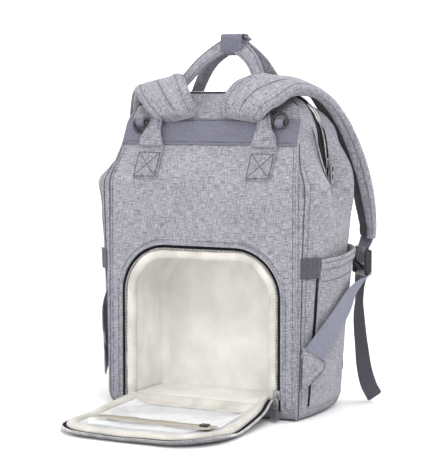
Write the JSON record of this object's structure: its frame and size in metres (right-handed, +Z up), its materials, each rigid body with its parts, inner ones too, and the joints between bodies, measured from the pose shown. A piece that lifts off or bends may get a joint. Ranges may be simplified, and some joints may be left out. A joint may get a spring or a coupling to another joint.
{
  "type": "diaper backpack",
  "caption": "Wide-mouth melange fabric baby backpack with a drop-down insulated bottle door, twin carry handles and padded shoulder straps.",
  "frame": {"origin": "middle of the base on the floor", "axes": "+Z up, -Y towards the bottle door and shoulder straps, +X towards the side with the mouth zip slider"},
  "size_m": [0.3706, 0.387, 0.488],
  "materials": {
    "melange_fabric": "woven melange",
    "webbing_slate": "ribbed webbing",
    "webbing_light": "ribbed webbing",
    "moulded_plastic": "glossy moulded",
    "zip_tape": "woven tape with coil",
    "zip_metal": "nickel plated",
    "cream_lining": "coated padded lining",
    "grey_lining": "plain woven lining",
    "beige_zip": "woven zip tape",
    "clear_film": "clear soft film",
    "spring_wire": "sprung wire",
    "stiff_board": "matte sheet"
  },
  "bodies": {
    "bag_body": {"base_panel": "melange_fabric", "base_board": "stiff_board", "near_face_panel": "melange_fabric", "far_face_panel": "melange_fabric", "side_gusset_left": "melange_fabric", "side_gusset_right": "melange_fabric", "side_pocket_left": "melange_fabric", "side_pocket_right": "melange_fabric", "pocket_elastic_left": "webbing_slate", "pocket_elastic_right": "webbing_slate", "strap_anchor_left": "melange_fabric", "strap_anchor_right": "melange_fabric", "shoulder_strap_left": "melange_fabric", "shoulder_strap_right": "melange_fabric", "strap_tab_left": "webbing_slate", "strap_tab_right": "webbing_slate", "ladder_lock_left": "moulded_plastic", "ladder_lock_right": "moulded_plastic", "lower_webbing_left": "webbing_light", "lower_webbing_right": "webbing_light", "webbing_tail_left": "webbing_slate", "webbing_tail_right": "webbing_slate", "opening_zip_tape": "zip_tape", "opening_trim": "cream_lining", "insulated_liner": "cream_lining", "main_lining": "grey_lining", "front_pocket": "melange_fabric", "front_pocket_zip": "zip_tape", "near_gusset_wings": "melange_fabric", "far_gusset_wings": "melange_fabric", "door_hinge_tape": "cream_lining"},
    "near_mouth": {"near_upper_panel": "melange_fabric", "near_webbing_band": "webbing_slate", "near_handle_patches": "melange_fabric", "near_hoop_wire": "spring_wire", "near_mouth_zip": "zip_tape", "d_ring_loops": "webbing_slate"},
    "far_mouth": {"far_upper_panel": "melange_fabric", "far_webbing_band": "webbing_slate", "far_handle_patches": "melange_fabric", "far_hoop_wire": "spring_wire", "far_mouth_zip": "zip_tape"},
    "near_handle": {"near_handle": "melange_fabric", "handle_wrap": "webbing_slate"},
    "far_handle": {"far_handle": "melange_fabric"},
    "d_ring_left": {"d_ring_left": "moulded_plastic"},
    "d_ring_right": {"d_ring_right": "moulded_plastic"},
    "bottle_door": {"door_shell": "melange_fabric", "door_zip_tape": "zip_tape", "door_lining": "cream_lining", "door_clear_pocket": "clear_film", "door_pocket_zip": "beige_zip"},
    "door_pocket_slider": {"door_pocket_slider": "zip_metal"},
    "door_zip_slider": {"door_zip_slider": "zip_metal"},
    "door_zip_pull": {"door_zip_pull": "zip_metal"},
    "mouth_zip_slider": {"mouth_zip_slider": "zip_metal"},
    "mouth_zip_pull": {"mouth_zip_pull": "zip_metal"},
    "pocket_zip_slider": {"pocket_zip_slider": "zip_metal"},
    "pocket_zip_pull": {"pocket_zip_pull": "zip_metal"}
  },
  "joints": [
    {"name": "near_mouth_open", "type": "hinge", "parent": "bag_body", "child": "near_mouth", "pos_m": [0, -0.068, 0.3], "axis": [1, 0, 0], "range_deg": [0, 30], "deforming": ["near_gusset_wings", "far_gusset_wings", "shoulder_strap_left", "shoulder_strap_right"]},
    {"name": "far_mouth_open", "type": "hinge", "parent": "bag_body", "child": "far_mouth", "pos_m": [0, 0.068, 0.3], "axis": [-1, 0, 0], "range_deg": [0, 30]},
    {"name": "near_handle_swing", "type": "hinge", "parent": "near_mouth", "child": "near_handle", "pos_m": [0, -0.0545, 0.3435], "axis": [1, 0, 0], "range_deg": [0, 4]},
    {"name": "far_handle_swing", "type": "hinge", "parent": "far_mouth", "child": "far_handle", "pos_m": [0, 0.0545, 0.3435], "axis": [-1, 0, 0], "range_deg": [0, 110]},
    {"name": "d_ring_left_swing", "type": "hinge", "parent": "near_mouth", "child": "d_ring_left", "pos_m": [-0.1, -0.0442, 0.372], "axis": [-1, 0, 0], "range_deg": [0, 150]},
    {"name": "d_ring_right_swing", "type": "hinge", "parent": "near_mouth", "child": "d_ring_right", "pos_m": [0.1, -0.0442, 0.372], "axis": [1, 0, 0], "range_deg": [0, 160]},
    {"name": "bottle_door_hinge", "type": "hinge", "parent": "bag_body", "child": "bottle_door", "pos_m": [0, -0.064, 0.016], "axis": [-1, 0, 0], "range_deg": [0, 86], "deforming": ["door_hinge_tape"]},
    {"name": "door_pocket_slide", "type": "slide", "parent": "bottle_door", "child": "door_pocket_slider", "axis": [-1, 0, 0], "range_m": [0, 0.13]},
    {"name": "door_zip_slide", "type": "slide", "parent": "bag_body", "child": "door_zip_slider", "axis": [0, 0, 1], "range_m": [0, 0.09]},
    {"name": "door_zip_pull_swing", "type": "hinge", "parent": "door_zip_slider", "child": "door_zip_pull", "pos_m": [0.1095, -0.0781, 0.03], "axis": [-1, 0, 0], "range_deg": [0, 140]},
    {"name": "mouth_zip_slide", "type": "slide", "parent": "bag_body", "child": "mouth_zip_slider", "axis": [0, 0, -1], "range_m": [-0.05, 0]},
    {"name": "mouth_zip_pull_swing", "type": "hinge", "parent": "mouth_zip_slider", "child": "mouth_zip_pull", "pos_m": [0.1519, 0, 0.318], "axis": [0, -1, 0], "range_deg": [0, 140]},
    {"name": "pocket_zip_slide", "type": "slide", "parent": "bag_body", "child": "pocket_zip_slider", "axis": [0, 0, 1], "range_m": [0, 0.1]},
    {"name": "pocket_zip_pull_swing", "type": "hinge", "parent": "pocket_zip_slider", "child": "pocket_zip_pull", "pos_m": [0.1329, 0.0785, 0.074], "axis": [0, -1, 0], "range_deg": [0, 140]}
  ],
  "couplings": [
    {"joint": "far_mouth_open", "follows": "near_mouth_open", "ratio": 1}
  ]
}
